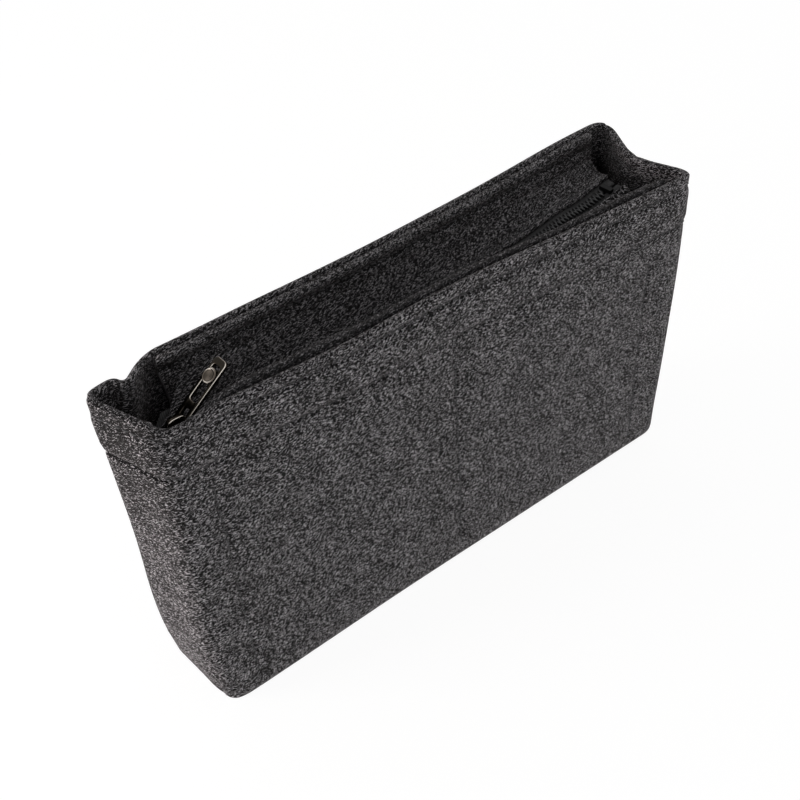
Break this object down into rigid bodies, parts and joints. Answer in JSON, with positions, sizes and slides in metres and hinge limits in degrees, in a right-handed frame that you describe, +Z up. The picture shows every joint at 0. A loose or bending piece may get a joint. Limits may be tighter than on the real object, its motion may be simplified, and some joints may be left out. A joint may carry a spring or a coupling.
{
  "type": "purse organizer insert",
  "caption": "Soft felt pouch that stands inside a handbag, with a boxed base, slip pocket and a recessed zip between two felt flaps below its rim.",
  "frame": {"origin": "middle of the underside, on the plane that the pouch stands on", "axes": "+X along the zip from its closed end to its open end, +Y from the front wall to the back wall, +Z up"},
  "size_m": [0.2507, 0.0561, 0.138],
  "materials": {
    "felt": "dark charcoal needled wool-look felt with paler loose fibres",
    "thread": "matte polyester sewing thread",
    "zip_tape": "fine woven polyester tape",
    "zip_coil": "black nylon coil",
    "nickel": "polished dark nickel plate"
  },
  "bodies": {
    "pouch": {"front_panel": "felt", "back_panel": "felt", "front_rim_facing": "felt", "back_rim_facing": "felt", "front_rim_stitch": "thread", "back_rim_stitch": "thread", "front_flap_stitch": "thread", "back_flap_stitch": "thread", "front_pocket": "felt", "pocket_left_stitch": "thread", "pocket_centre_stitch": "thread", "pocket_right_stitch": "thread", "bottom_stop": "zip_coil"},
    "slider": {"slider_body": "nickel", "slider_bail": "nickel"},
    "pull": {"pull_tab": "nickel", "pull_stud": "nickel"},
    "front_flap": {"front_zip_flap": "felt", "front_zip_tape": "zip_tape", "front_tape_stitch": "thread", "front_zip_coil": "zip_coil", "front_top_stop": "nickel"},
    "back_flap": {"back_zip_flap": "felt", "back_zip_tape": "zip_tape", "back_tape_stitch": "thread", "back_zip_coil": "zip_coil", "back_top_stop": "nickel"}
  },
  "joints": [
    {"name": "zip_slide", "type": "slide", "parent": "pouch", "child": "slider", "axis": [0.9992, 0.0192, 0.0359], "range_m": [0, 0.185], "deforming": ["front_zip_tape", "back_zip_tape", "front_zip_coil", "back_zip_coil"]},
    {"name": "pull_flip", "type": "hinge", "parent": "slider", "child": "pull", "pos_m": [-0.1036, -0.00487, 0.1214], "axis": [0.0192, -0.9998, 0], "range_deg": [-28, 85]},
    {"name": "front_flap_open", "type": "hinge", "parent": "pouch", "child": "front_flap", "pos_m": [-0.0015, -0.01816, 0.116], "axis": [0.9996, -0.0283, 0], "range_deg": [0, 40]},
    {"name": "back_flap_open", "type": "hinge", "parent": "pouch", "child": "back_flap", "pos_m": [0.0025, 0.0122, 0.127], "axis": [0.9987, 0.0515, 0], "range_deg": [0, 20]}
  ],
  "couplings": [
    {"joint": "front_flap_open", "follows": "zip_slide", "rad_per_m": 3.7},
    {"joint": "back_flap_open", "follows": "zip_slide", "rad_per_m": 1.86}
  ]
}
